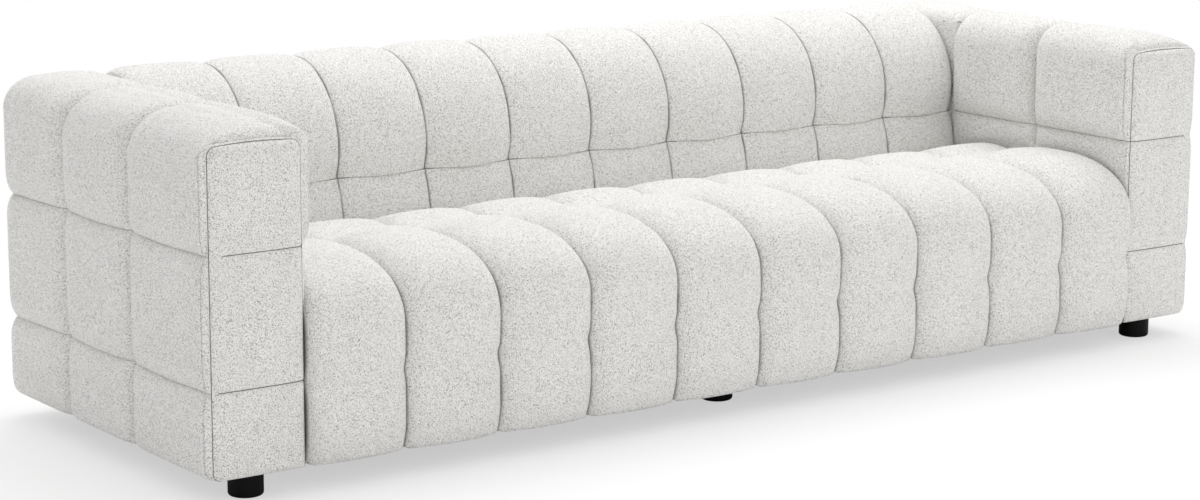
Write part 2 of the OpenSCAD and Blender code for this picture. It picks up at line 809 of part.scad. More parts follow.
module back_webbing() color(webbing)
    for (c = [0:channel_count - 1])
        translate([(c + 0.5) * pitch - seat_w / 2 - web_w / 2, y_post - web_t, z_tuck])
            cube([web_w, web_t, z_post - z_tuck]);

module back_rear_board() color(fibreboard)
    translate([-room_w / 2 + fit, y_rear_room - rear_board_t, z_floor])
        cube([room_w - 2 * fit, rear_board_t, z_post - z_floor]);

// Bolts through the seat's end rails and the back's end posts into the arms.
module unit_bolts() color(steel)
    for (p = bolt_places, side = [-1, 1])
        both_sides(side)
            let (
                grip = p[0] > y_rail_rear ? post_w : rail_t,
                x = room_w / 2 - fit - grip - washer_t,
                l = x_arm_in + inner_board_t + nut_flange_t + bolt_past - x
            )
                translate([x, p[0], p[1]])
                    rotate([0, 90, 0])
                        difference() {
                            union() {
                                translate([0, 0, -bolt_head_h])
                                    cylinder(h = bolt_head_h, d = bolt_head_d);
                                cylinder(h = l, d = bolt_d);
                            }
                            translate([0, 0, -bolt_head_h - cut])
                                cylinder(h = cut + socket_h, d = socket_d, $fn = 6);
                        }

module unit_washers() color(steel)
    for (p = bolt_places, side = [-1, 1])
        both_sides(side)
            let (grip = p[0] > y_rail_rear ? post_w : rail_t)
                translate([room_w / 2 - fit - grip - washer_t, p[0], p[1]])
                    rotate([0, 90, 0])
                        difference() {
                            cylinder(h = washer_t, d = washer_d);
                            translate([0, 0, -cut])
                                cylinder(h = 2 * cut, d = bolt_d + 2 * slip);
                        }

// A tee nut with its flange on top, centred on its flange's underside.
module tee_nut(d)
    difference() {
        union() {
            cylinder(h = nut_flange_t, d = nut_flange_d);
            translate([0, 0, -nut_l])
                cylinder(h = nut_l, d = d + 2 * nut_wall);
        }
        translate([0, 0, -cut])
            cylinder(h = 2 * cut, d = d + 2 * thread_fit);
    }

module unit_tee_nuts() color(steel)
    for (p = bolt_places, side = [-1, 1])
        both_sides(side)
            translate([x_arm_in + inner_board_t, p[0], p[1]])
                rotate([0, 90, 0])
                    tee_nut(bolt_d);

// Feet with their studs.
module stud_holes(d)
    for (p = foot_places)
        translate([p[0], p[1], z_base - cut])
            cylinder(h = 2 * cut + base_rail_h, d = d);

module foot(p) color(black)
    translate([p[0], p[1], 0])
        rotate_extrude()
            polygon(concat(
                [[stud_d / 2 + thread_fit, foot_h], [stud_d / 2 + thread_fit, foot_h - stud_in_foot],
                    [0, foot_h - stud_in_foot], [0, 0]],
                [for (a = [-90:15:0])
                    [foot_d / 2 - foot_edge_r + foot_edge_r * cos(a),
                        foot_edge_r + foot_edge_r * sin(a)]],
                [[foot_d / 2, foot_h]]
            ));

module feet_centre()
    for (p = [foot_places[4], foot_places[5]])
        foot(p);

module foot_studs() color(steel)
    for (p = foot_places)
        translate([p[0], p[1], foot_h - stud_in_foot])
            cylinder(h = stud_in_foot + dust_t + base_rail_h + nut_flange_t + stud_past, d = stud_d);

module foot_tee_nuts() color(steel)
    for (p = foot_places)
        translate([p[0], p[1], z_floor + base_rail_h])
            tee_nut(stud_d);

module dust_cover(x0, x1, y0, y1) color(black)
    difference() {
        translate([x0, y0, z_base])
            cube([x1 - x0, y1 - y0, dust_t]);
        stud_holes(stud_d + 2 * nut_wall + 2 * thread_fit);
    }

module dust_cover_middle()
    dust_cover(-room_w / 2 + fit, room_w / 2 - fit, y_seat_room + fit, y_rear_room - fit);

module arm_dust_cover()
    dust_cover(x_arm_in + fit, x_arm_out - fit, y_panel + fit, y_arm_rear - fit);

foot(foot_places[0]);  // foot_front_left
foot(foot_places[1]);  // foot_front_right
foot(foot_places[2]);  // foot_rear_left
foot(foot_places[3]);  // foot_rear_right
feet_centre();
foot_studs();
foot_tee_nuts();
seat_rail(y_rail_front);  // seat_front_rail
seat_rail(y_rail_rear - rail_t);  // seat_rear_rail
both_sides(-1) seat_end_rail();  // seat_end_rail_left
seat_end_rail();  // seat_end_rail_right
seat_cross_rails();
seat_corner_blocks();
seat_springs();
spring_clips();
spring_tie_wires();
seat_felt();
seat_foam();
seat_cover();
both_sides(-1) back_end_post();  // back_post_left
back_end_post();  // back_post_right
back_mid_posts();
back_rails(z_post - post_w);  // back_top_rail
back_rails(z_tuck);  // back_middle_rail
back_rails(z_floor);  // back_bottom_rail
back_webbing();
back_rear_board();
back_foam();
back_cover();
back_rear_cover();
both_sides(-1) arm_post(y_panel + fit);  // arm_front_post_left
arm_post(y_panel + fit);  // arm_front_post_right
both_sides(-1) arm_post(y_rear_arm_post);  // arm_rear_post_left
arm_post(y_rear_arm_post);  // arm_rear_post_right
both_sides(-1) arm_top_rail();  // arm_top_rail_left
arm_top_rail();  // arm_top_rail_right
both_sides(-1) arm_bottom_rail();  // arm_bottom_rail_left
arm_bottom_rail();  // arm_bottom_rail_right
both_sides(-1) arm_inner_board();  // arm_inner_board_left
arm_inner_board();  // arm_inner_board_right
both_sides(-1) arm_outer_board();  // arm_outer_board_left
arm_outer_board();  // arm_outer_board_right
both_sides(-1) arm_foam();  // arm_foam_left
arm_foam();  // arm_foam_right
both_sides(-1) arm_cover();  // arm_cover_left
arm_cover();  // arm_cover_right
both_sides(-1) arm_front_cover();  // arm_front_cover_left
arm_front_cover();  // arm_front_cover_right
unit_bolts();
unit_washers();
unit_tee_nuts();
dust_cover_middle();
both_sides(-1) arm_dust_cover();  // dust_cover_left
arm_dust_cover();  // dust_cover_right
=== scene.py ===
import json

import bmesh
import bpy
import numpy as np
from mathutils import Matrix, Vector


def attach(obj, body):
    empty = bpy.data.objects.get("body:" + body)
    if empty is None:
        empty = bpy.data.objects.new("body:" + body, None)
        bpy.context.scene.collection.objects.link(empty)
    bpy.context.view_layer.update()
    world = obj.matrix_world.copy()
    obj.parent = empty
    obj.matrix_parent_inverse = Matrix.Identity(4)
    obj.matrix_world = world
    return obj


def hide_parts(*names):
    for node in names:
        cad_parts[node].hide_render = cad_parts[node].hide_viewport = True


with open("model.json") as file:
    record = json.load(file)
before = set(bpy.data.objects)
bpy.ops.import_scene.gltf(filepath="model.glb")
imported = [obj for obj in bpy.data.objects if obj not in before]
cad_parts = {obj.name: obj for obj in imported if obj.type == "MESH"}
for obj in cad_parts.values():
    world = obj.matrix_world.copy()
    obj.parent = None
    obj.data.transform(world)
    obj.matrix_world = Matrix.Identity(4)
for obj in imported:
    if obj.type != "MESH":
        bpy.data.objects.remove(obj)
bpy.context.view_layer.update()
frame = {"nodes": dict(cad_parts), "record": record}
nodes = frame["nodes"]
print("frame loaded")

# the body's seam planes and levels, in metres
body = {
    "outX": 1.238, "inX": 1.051, "seatHalf": 1.048, "frontY": -0.409, "panelY": -0.397,
    "rearY": 0.420, "baseZ": 0.050, "lowZ": 0.211, "highZ": 0.458, "panelZ": 0.653,
    "armZ": 0.683, "backZ": 0.690, "channels": 10,
}


# small shape helpers
def edgeRound(distance, width):
    # 0 on a seam, 1 at width and beyond, steep where it leaves the seam
    d = np.clip(np.asarray(distance, float) / width, 0, 1)
    return np.sqrt(1 - (1 - d) ** 2)


def ease(distance, reach):
    return 1 - (1 - np.clip(np.asarray(distance, float) / reach, 0, 1)) ** 2


def bell(distance, reach):
    return np.exp(-(np.asarray(distance, float) / reach) ** 2)


def seamShares(count):
    # shares from 0 to 1 that lie close together beside both ends
    return 0.5 * (1 - np.cos(np.pi * np.linspace(0, 1, count)))


def wander(value, seed, size):
    # a slow smooth wave without repeats, the same on each run
    v = np.asarray(value, float) / size
    return (np.sin(v * 2.1 + seed * 1.7) + 0.6 * np.sin(v * 3.7 + seed * 4.1)
            + 0.4 * np.sin(v * 6.3 + seed * 2.9)) / 2


def makeObject(name, verts, faces, material, smooth=True):
    mesh = bpy.data.meshes.new(name)
    mesh.from_pydata(np.asarray(verts, float).tolist(), [], faces)
    mesh.validate()
    mesh.polygons.foreach_set("use_smooth", np.full(len(mesh.polygons), smooth))
    mesh.materials.append(material)
    piece = bpy.data.objects.new(name, mesh)
    bpy.context.scene.collection.objects.link(piece)
    return piece


def setCreaseShade(piece, values):
    # painted crease shade: how dark the fabric's colour is painted at each point beside a seam
    seam = piece.data.attributes.new("seam", "FLOAT", "POINT")
    seam.data.foreach_set("value", np.asarray(values, np.float32).ravel())


def outward(piece):
    # turns the faces so that they all look out
    bm = bmesh.new()
    bm.from_mesh(piece.data)
    bmesh.ops.recalc_face_normals(bm, faces=bm.faces)
    bm.to_mesh(piece.data)
    bm.free()


def cutRoom(piece, low, high, corner=0.0, fallFrom=None, fall=0.0):
    # takes the frame's room out of a cover; its top may fall towards the rear
    y0, z0, y1, z1 = low[1], low[2], high[1], high[2]
    outline = [(y1, z0), (y0, z0)]
    if corner:
        for a in np.linspace(0, np.pi / 2, 13):
            outline.append((y0 + corner * (1 - np.cos(a)), z1 - corner * (1 - np.sin(a))))
    else:
        outline.append((y0, z1))
    if fall:
        outline.append((fallFrom, z1))
    outline.append((y1, z1 - fall * (y1 - (fallFrom or y1))))
    n = len(outline)
    verts = [(x, y, z) for x in (low[0], high[0]) for y, z in outline]
    faces = [list(range(n)), list(range(n, 2 * n))[::-1]]
    faces += [[k, k + n, (k + 1) % n + n, (k + 1) % n] for k in range(n)]
    tool = makeObject(piece.name + "Room", verts, faces, piece.data.materials[0], False)
    outward(tool)
    cut = piece.modifiers.new("room", "BOOLEAN")
    cut.operation = "DIFFERENCE"
    cut.solver = "MANIFOLD"
    cut.object = tool
    graph = bpy.context.evaluated_depsgraph_get()
    made = bpy.data.meshes.new_from_object(piece.evaluated_get(graph))
    piece.modifiers.remove(cut)
    piece.data = made
    bpy.data.objects.remove(tool)


def finishPad(piece, fill, *replaced):
    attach(piece, "root")
    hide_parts(*replaced)


# materials
def shaderOf(material):
    material.use_nodes = True
    tree = material.node_tree
    return tree, tree.nodes["Principled BSDF"]


def addNode(tree, kind, **values):
    node = tree.nodes.new(kind)
    for key, value in values.items():
        if key in node.inputs:
            node.inputs[key].default_value = value
        else:
            setattr(node, key, value)
    return node


def mixColour(tree, factor, first, second, blend="MIX"):
    node = tree.nodes.new("ShaderNodeMix")
    node.data_type = "RGBA"
    node.blend_type = blend
    sockets = (node.inputs[0], node.inputs[6], node.inputs[7])
    for socket, value in zip(sockets, (factor, first, second)):
        if isinstance(value, bpy.types.NodeSocket):
            tree.links.new(value, socket)
        elif isinstance(value, tuple):
            socket.default_value = (*value, 1)
        else:
            socket.default_value = value
    return node.outputs[2]


def ramp(tree, source, stops):
    node = tree.nodes.new("ShaderNodeValToRGB")
    tree.links.new(source, node.inputs[0])
    elements = node.color_ramp.elements
    for element, (place, colour) in ((elements[0], stops[0]), (elements[1], stops[-1])):
        element.position = place
        element.color = (*colour, 1)
    for place, colour in stops[1:-1]:
        elements.new(place).color = (*colour, 1)
    return node.outputs[0]


def addBump(tree, shader, height, strength, depth):
    bump = addNode(tree, "ShaderNodeBump", Strength=strength, Distance=depth)
    tree.links.new(height, bump.inputs["Height"])
    tree.links.new(bump.outputs[0], shader.inputs["Normal"])


fabricLook = {
    "light": (0.990, 0.983, 0.966), "pale": (0.940, 0.926, 0.901), "deep": (0.110, 0.105, 0.096),
    # the seam colour below is painted shade for the creases
    "seam": (0.100, 0.095, 0.088), "loop": 0.0019, "loopStops": (0.38, 0.56, 0.72),
    "grain": 0.0011, "grainStops": (0.36, 0.46, 0.54), "grainShare": 0.50,
    "cloud": (0.975, 0.972, 0.967), "cloudScale": 9.0, "cloudStops": (0.35, 0.65),
    "loopHeight": -0.8, "bump": 0.0011, "bumpStrength": 0.55,
    "shader": {"Roughness": 0.95, "Specular IOR Level": 0.15, "Sheen Weight": 0.25,
               "Sheen Roughness": 0.6},
}


def makeFabric():
    look = fabricLook
    material = bpy.data.materials.new("loopedFabric")
    tree, shader = shaderOf(material)
    place = addNode(tree, "ShaderNodeTexCoord").outputs["Object"]
    loops = addNode(tree, "ShaderNodeTexVoronoi", Scale=1 / look["loop"], Randomness=1.0)
    grain = addNode(tree, "ShaderNodeTexNoise", Scale=1 / look["grain"], Detail=1.0, Roughness=0.5)
    cloud = addNode(tree, "ShaderNodeTexNoise", Scale=look["cloudScale"], Detail=3.0, Roughness=0.5)
    for node in (loops, grain, cloud):
        tree.links.new(place, node.inputs["Vector"])
    # loops are pale on top with darker ground between them
    tones = [look["light"], look["pale"], look["deep"]]
    loopColour = ramp(tree, loops.outputs["Distance"], list(zip(look["loopStops"], tones)))
    grainColour = ramp(tree, grain.outputs[0], list(zip(look["grainStops"], tones[::-1])))
    both = mixColour(tree, look["grainShare"], loopColour, grainColour)
    cloudTones = (look["cloud"], (1.0, 1.0, 1.0))
    cloudColour = ramp(tree, cloud.outputs[0], list(zip(look["cloudStops"], cloudTones)))
    toned = mixColour(tree, 1.0, both, cloudColour, "MULTIPLY")
    # painted shade in the creases: the attribute darkens the colour towards the shade colour beside
    # the seams
    seam = addNode(tree, "ShaderNodeAttribute", attribute_name="seam")
    final = mixColour(tree, seam.outputs["Fac"], toned, look["seam"])
    tree.links.new(final, shader.inputs["Base Color"])
    for socket, value in look["shader"].items():
        shader.inputs[socket].default_value = value
    # height of the loops and of the yarn on them
    height = addNode(tree, "ShaderNodeMath", operation="MULTIPLY_ADD")
    tree.links.new(loops.outputs["Distance"], height.inputs[0])
    height.inputs[1].default_value = look["loopHeight"]
    tree.links.new(grain.outputs[0], height.inputs[2])
    addBump(tree, shader, height.outputs[0], look["bumpStrength"], look["bump"])
    return material


# painted seam shade: the dark tubes along the seams stand in for the shade in the creases, not for
# a dark thread
seamShadeLook = {
    "dark": (0.10, 0.096, 0.09), "pale": (0.20, 0.19, 0.18), "stops": (0.35, 0.65),
    "twist": 900.0, "roughness": 0.9, "gloss": 0.1,
}


def makeSeamShade():
    look = seamShadeLook
    material = bpy.data.materials.new("seamThread")
    tree, shader = shaderOf(material)
    place = addNode(tree, "ShaderNodeTexCoord").outputs["Object"]
    twist = addNode(tree, "ShaderNodeTexNoise", Scale=look["twist"], Detail=1.0)
    tree.links.new(place, twist.inputs["Vector"])
    tones = (look["dark"], look["pale"])
    colour = ramp(tree, twist.outputs[0], list(zip(look["stops"], tones)))
    tree.links.new(colour, shader.inputs["Base Color"])
    shader.inputs["Roughness"].default_value = look["roughness"]
    shader.inputs["Specular IOR Level"].default_value = look["gloss"]
    return material


woodLook = {
    "stretch": (1.0, 6.0, 6.0), "ringStops": (0.3, 0.5, 0.62, 0.75), "fibreShare": 9,
    "fibreTones": ((0.8, 0.8, 0.8), (1, 1, 1)), "fibreStops": (0.3, 0.7), "roughness": 0.7,
    "bump": 0.0004, "bumpStrength": 0.2,
}


def makeWood(name, dark, pale, ringSize):
    look = woodLook
    material = bpy.data.materials.new(name)
    tree, shader = shaderOf(material)
    place = addNode(tree, "ShaderNodeTexCoord").outputs["Object"]
    spread = addNode(tree, "ShaderNodeMapping")
    spread.inputs["Scale"].default_value = look["stretch"]
    tree.links.new(place, spread.inputs["Vector"])
    rings = addNode(tree, "ShaderNodeTexNoise", Scale=ringSize, Detail=6.0, Roughness=0.7,
                    Distortion=1.2)
    fibre = addNode(tree, "ShaderNodeTexNoise", Scale=ringSize * look["fibreShare"], Detail=2.0)
    for node in (rings, fibre):
        tree.links.new(spread.outputs[0], node.inputs["Vector"])
    tones = (dark, pale, dark, pale)
    grain = ramp(tree, rings.outputs[0], list(zip(look["ringStops"], tones)))
    fine = ramp(tree, fibre.outputs[0], list(zip(look["fibreStops"], look["fibreTones"])))
    tree.links.new(mixColour(tree, 1.0, grain, fine, "MULTIPLY"), shader.inputs["Base Color"])
    shader.inputs["Roughness"].default_value = look["roughness"]
    addBump(tree, shader, fibre.outputs[0], look["bumpStrength"], look["bump"])
    return material


speckLook = {"stops": (0.3, 0.7), "bumpStrength": 0.4}


def makeSpeckled(name, dark, pale, size, roughness, metallic=0.0, bumpDepth=0.0003):
    material = bpy.data.materials.new(name)
    tree, shader = shaderOf(material)
    place = addNode(tree, "ShaderNodeTexCoord").outputs["Object"]
    speck = addNode(tree, "ShaderNodeTexNoise", Scale=1 / size, Detail=4.0, Roughness=0.6)
    tree.links.new(place, speck.inputs["Vector"])
    colour = ramp(tree, speck.outputs[0], list(zip(speckLook["stops"], (dark, pale))))
    tree.links.new(colour, shader.inputs["Base Color"])
    shader.inputs["Roughness"].default_value = roughness
    shader.inputs["Metallic"].default_value = metallic
    addBump(tree, shader, speck.outputs[0], speckLook["bumpStrength"], bumpDepth)
    return material


fabric = makeFabric()
seamShadeLine = makeSeamShade()
# dark and pale colour, then the grain's size, roughness, metal and depth of the bumps
looks = {
    "hardwood": makeWood("hardwood", (0.42, 0.27, 0.14), (0.68, 0.50, 0.31), 12),
    "plywood": makeWood("plywood", (0.55, 0.39, 0.22), (0.76, 0.60, 0.40), 7),
    "fibreboard": makeSpeckled("fibreboard", (0.25, 0.16, 0.09), (0.42, 0.29, 0.18), 0.0015, 0.8),
    "steel": makeSpeckled("steel", (0.52, 0.53, 0.55), (0.72, 0.73, 0.75), 0.004, 0.35, 1.0,
                          0.0001),
    "spring_steel": makeSpeckled("springSteel", (0.16, 0.16, 0.17), (0.34, 0.34, 0.35), 0.006,
                                 0.45, 1.0, 0.0001),
    "foam": makeSpeckled("foam", (0.72, 0.65, 0.42), (0.90, 0.85, 0.64), 0.0012, 0.95, 0.0,
                         0.0008),
    "felt": makeSpeckled("felt", (0.26, 0.25, 0.24), (0.52, 0.51, 0.49), 0.002, 0.98, 0.0,
                         0.0006),
    "webbing": makeSpeckled("webbing", (0.03, 0.03, 0.035), (0.12, 0.12, 0.13), 0.0012, 0.85),
    "dust_cloth": makeSpeckled("dustCloth", (0.012, 0.012, 0.012), (0.05, 0.05, 0.05), 0.001,
                               0.9),
    "feet": makeSpeckled("blackPlastic", (0.0012, 0.0012, 0.0012), (0.0035, 0.0035, 0.0036),
                         0.0009, 0.5, 0.0, 0.0001),
    "upholstery": fabric,
}
shaderOf(looks["feet"])[1].inputs["Specular IOR Level"].default_value = 0.12
for part in frame["record"]["subparts"]:
    slots = nodes[part["node"]].data.materials
    slots.clear()
    slots.append(looks[part["material_slot"]])
print("materials made")


# rows of channels across the sofa: seat, back and the back's rear
# here the form of a pillow, how uneven its filling is, how far the seams stray, and how wide and
# dark the painted shade beside the seams is
channelFeel = {
    "points": 25, "flat": 0.80, "dome": 0.20, "stuffing": 0.035, "spotWide": 1.5,
    "sinkShare": 0.6, "tuftWidth": 0.012, "seamReach": 0.030, "fullCrown": 0.012,
    "endShare": 0.2, "leastCrown": 0.004, "uneven": 0.0012, "unevenSize": 0.11,
    "stray": 0.0011, "straySize": 0.06, "strayReach": 0.03, "strayEnd": 0.4,
    "seamWidth": 0.0013, "seamShade": 0.75, "endWall": 0.012,
}


def lengthAlong(section):
    # distance from the section's first point to each of its points
    return np.concatenate([[0], np.cumsum(np.hypot(*np.diff(section[:, :2], axis=0).T))])


def alongAt(section, y=None, z=None, after=0):
    # the distance at which the section passes a y or a z
    gap = np.abs(section[:, 0] - y) if y is not None else np.abs(section[:, 1] - z)
    gap[:after] = 9
    return lengthAlong(section)[int(np.argmin(gap))]


def withOutward(line, turn):
    # puts the outward direction of each point behind its y and z; turn is 1 or -1
    line = np.array(line)
    step = np.gradient(line[:, :2], axis=0)
    step /= np.linalg.norm(step, axis=1)[:, None]
    return np.column_stack([line[:, :2], turn * step[:, 1], -turn * step[:, 0], line[:, 2:]])


def channelPiece(name, section, roots, pinches, shape, sag=None):
    # section rows: y, z, outward y, outward z, crown, and how full the row of pillows is there
    feel = channelFeel
    half, count = body["seatHalf"], body["channels"]
    pitch = 2 * half / count
    shares = seamShares(feel["points"])[:-1]
    xs = np.concatenate([[-half + (c + s) * pitch for s in shares] for c in range(count)]
                        + [[half]])[:, None]
    channel = np.clip(((xs + half) / pitch).astype(int), 0, count - 1) * 1.0
    away = np.abs(xs - (-half + pitch * np.arange(count + 1))).min(1)[:, None]
    fromEnd = half - np.abs(xs)
    inner = fromEnd > 1e-6
    y, z, outY, outZ, crown, rowEdge = section.T
    along = lengthAlong(section)
    width = np.where(fromEnd < pitch / 2, shape["endWidth"], shape["edgeWidth"])
    across = edgeRound(away, width) * (feel["flat"] + feel["dome"] * np.sin(np.pi * away / pitch))
    # each channel is stuffed a little differently
    stuffing = 1 + feel["stuffing"] * wander(channel, 3, 0.7)
    rowShare = shape["rowShare"]
    rise = crown * (across * stuffing) * (rowShare + (1 - rowShare) * rowEdge)
    sink = np.zeros_like(rise)
    for pinch in pinches:
        gap, reach = along - pinch["at"], pinch["reach"]
        rise *= 1 - pinch["row"] * bell(gap, pinch["rowReach"])
        rise *= 1 - pinch["spot"] * (bell(gap, reach) * bell(away, reach * feel["spotWide"]))
        sink += (pinch["sink"] * bell(gap, reach * feel["sinkShare"])
                 * bell(away, feel["tuftWidth"]))
    # the sewn line lies deeper than the crease that is seen
    sink += (shape["seamSink"] * (1 - edgeRound(away, feel["seamReach"]))
             * np.clip(crown / feel["fullCrown"], 0, 1))
    sink[~inner[:, 0]] *= feel["endShare"]
    sink += (shape["endSink"] * (1 - edgeRound(fromEnd, shape["endReach"]))
             * (crown > feel["leastCrown"]))
    # slow unevenness of the filling, none on the seams
    rise += feel["uneven"] * across * wander(along, channel, feel["unevenSize"])
    lift = rise - sink
    pointY = y + outY * lift
    pointZ = z + outZ * lift
    if sag:
        # a level crease hangs a little in the middle of each channel
        hang = (sag["depth"] * (1 + sag["vary"] * wander(channel, 8, 0.9))
                * np.sin(np.pi * away / pitch) ** 2)
        pointZ -= hang * bell(along - sag["at"], sag["reach"])
    pointZ = np.maximum(pointZ, body["baseZ"])
    # seams wander by a millimetre or so
    shift = (feel["stray"] * wander(along, channel + 5, feel["straySize"])
             * bell(away, feel["strayReach"]))
    shift[fromEnd[:, 0] < pitch * feel["strayEnd"]] = 0
    rows, m = rise.shape
    n = m + len(roots)
    verts = np.zeros((rows, n, 3))
    verts[:, :m] = np.stack([xs + shift, pointY, pointZ], -1)
    verts[:, m:, 0] = xs
    verts[:, m:, 1:] = roots
    index = np.arange(rows * n).reshape(rows, n)
    a, b = index[:-1], index[1:]
    quads = np.stack([a, np.roll(a, -1, 1), np.roll(b, -1, 1), b], -1).reshape(-1, 4).tolist()
    quads += [index[0].tolist(), index[-1][::-1].tolist()]
    piece = makeObject(name, verts.reshape(-1, 3), quads, fabric)
    outward(piece)
    # painted shade: a narrow dark band along each seam, and one beside the seat's ends where they
    # meet the panels
    seam = np.zeros((rows, n))
    seam[:, :m] = (np.where(inner, bell(away, feel["seamWidth"]), 0)
                   * (crown > feel["leastCrown"]))
    if shape["endShade"]:
        seam[:, :m] += np.where(fromEnd < feel["endWall"], bell(away, shape["endShade"]), 0)
    setCreaseShade(piece, feel["seamShade"] * seam)
    seamLines = [verts[i, :m] for i in np.flatnonzero((away < 1e-6) & inner)]
    # the level seam is the row of points nearest to the first pinch
    level = int(np.argmin(np.abs(along - pinches[0]["at"])))
    return piece, seamLines, verts[1:-1, level]


def seamTubes(name, lines, radius, sides=6):
    # thin dark lines that lie in the creases along the sewn seams, painted shade of the creases
    verts, faces = [], []
    for line in lines:
        line = np.asarray(line, float)
        keep = np.concatenate([[True], np.linalg.norm(np.diff(line, axis=0), axis=1) > 1e-5])
        line = line[keep]
        tangent = np.gradient(line, axis=0)
        tangent /= np.linalg.norm(tangent, axis=1)[:, None]
        helper = np.where(np.abs(tangent[:, :1]) < 0.9, [[1.0, 0, 0]], [[0, 0, 1.0]])
        u = np.cross(tangent, helper)
        u /= np.linalg.norm(u, axis=1)[:, None]
        v = np.cross(tangent, u)
        start = len(verts)
        for i, p in enumerate(line):
            for s in range(sides):
                a = 2 * np.pi * s / sides
                verts.append(p + radius * (np.cos(a) * u[i] + np.sin(a) * v[i]))
        for i in range(len(line) - 1):
            for s in range(sides):
                t = (s + 1) % sides
                faces.append([start + i * sides + s, start + i * sides + t,
                              start + (i + 1) * sides + t, start + (i + 1) * sides + s])
        faces.append([start + s for s in range(sides)][::-1])
        faces.append([start + (len(line) - 1) * sides + s for s in range(sides)])
    piece = makeObject(name, np.array(verts), faces, seamShadeLine)
    outward(piece)
    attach(piece, "root")


# seat; a tuft flattens the whole row, presses a spot in, and sinks the seam
seatShape = {
    "joinY": 0.148, "joinZ": 0.362, "topZ": 0.395, "rise": 0.205, "tuftY": -0.075,
    "frontY": -0.422, "rollDepth": 0.200, "rollHeight": 0.115, "rollShape": 0.80,
    "rollSteps": 42, "crown": 0.028, "rearCrown": 0.019, "frontCrown": 0.018,
    "crownBlend": 0.03, "tuck": 0.013, "tuckReach": 0.070, "tuckShare": 0.45, "step": 0.0075,
    "leastRise": 0.2, "hem": 0.003, "hemIn": 0.002, "rearPoints": 60, "rootY": -0.380,
    "rowShare": 1.0, "edgeWidth": 0.080, "endWidth": 0.045,
    "seamSink": 0.015, "endSink": 0.018, "endReach": 0.016, "endShade": 0.0022,
    "topTuft": {"row": 0.72, "rowReach": 0.050, "reach": 0.058, "spot": 0.88, "sink": 0.012},
    "frontTuft": {"row": 0.10, "rowReach": 0.026, "reach": 0.026, "spot": 0.78, "sink": 0.006},
    "frontTuftDrop": 0.007,
    "roomLow": (-1.036, -0.382, 0.0), "roomHigh": (1.036, 0.25, 0.355), "roomCorner": 0.070,
    "roomFall": 0.146, "fill": 0.8, "seamShadeLine": 0.0010,
}


def seatSection():
    s = seatShape
    line = []
    for y in np.arange(s["joinY"], s["frontY"] + s["rollDepth"], -s["step"]):
        up = float(ease(s["joinY"] - y, s["rise"]))
        blend = float(np.clip((s["tuftY"] - y) / s["crownBlend"] + 0.5, 0, 1))
        crown = s["rearCrown"] + (s["crown"] - s["rearCrown"]) * blend
        z = s["joinZ"] + (s["topZ"] - s["joinZ"]) * up
        line.append((y, z, crown * max(up, s["leastRise"]), 1.0))
    for a in np.linspace(0, np.pi / 2, s["rollSteps"]):
        # a little squarer than a quarter round
        y = s["frontY"] + s["rollDepth"] * (1 - np.sin(a) ** s["rollShape"])
        z = s["topZ"] - s["rollHeight"] * (1 - np.cos(a) ** s["rollShape"])
        line.append((y, z, s["frontCrown"] + (s["crown"] - s["frontCrown"]) * np.cos(a), 1.0))
    rollZ = s["topZ"] - s["rollHeight"]
    for z in np.arange(rollZ - s["step"], body["baseZ"] + s["hem"], -s["step"]):
        tuck = max(0.0, 1 - (z - body["baseZ"]) / s["tuckReach"]) ** 2
        crown = s["frontCrown"] * (1 - s["tuckShare"] * tuck)
        line.append((s["frontY"] + s["tuck"] * tuck, z, crown, 1.0))
    line.append((s["frontY"] + s["tuck"] + s["hemIn"], body["baseZ"],
                 s["frontCrown"] * s["tuckShare"], 1.0))
    return withOutward(line, 1)


section = seatSection()
tufts = [
    {"at": alongAt(section, y=seatShape["tuftY"]), **seatShape["topTuft"]},
    # the first points, on the rear of the seat, also pass this height
    {"at": alongAt(section, z=body["lowZ"] - seatShape["frontTuftDrop"],
                   after=seatShape["rearPoints"]), **seatShape["frontTuft"]},
]
roots = [(seatShape["rootY"], body["baseZ"]), (seatShape["joinY"], body["baseZ"])]
seat, seamLines = channelPiece("seatChannels", section, roots, tufts, seatShape)[:2]
cutRoom(seat, seatShape["roomLow"], seatShape["roomHigh"], seatShape["roomCorner"],
        seatShape["tuftY"], seatShape["roomFall"])
finishPad(seat, seatShape["fill"], "seat_cover")
seamTubes("seatSeamShade", seamLines, seatShape["seamShadeLine"])
print("seat made")


# back
backShape = {
    "joinY": 0.151, "tuckZ": 0.282, "joinZ": 0.362, "frontY": 0.168, "rollDepth": 0.167,
    "rollHeight": 0.176, "rollSteps": 36, "rearRoll": 0.085, "rearSteps": 16,
    "stripCrown": 0.008, "stripEdge": 0.03, "stripRise": 0.04, "crown": 0.014,
    "topCrown": 0.006, "rearCrown": 0.020, "swell": 0.055, "besideSeam": (0.0008, 0.003, 0.007),
    "tuckRows": 6, "stripRows": 15, "frontRows": 8, "rearRows": 18, "rootY": 0.345,
    "rowShare": 0.42, "edgeWidth": 0.070, "endWidth": 0.050,
    "seamSink": 0.006, "endSink": 0.004, "endReach": 0.05, "endShade": 0.0,
    "tuft": {"row": 0.0, "rowReach": 0.02, "reach": 0.034, "spot": 0.92, "sink": 0.007},
    "sag": {"depth": 0.0035, "reach": 0.05, "vary": 0.4},
    "roomLow": (-1.036, 0.213, 0.0), "roomHigh": (1.036, 0.390, 0.642), "roomCorner": 0.120,
    "fill": 0.75, "seamShadeLine": 0.0008,
}


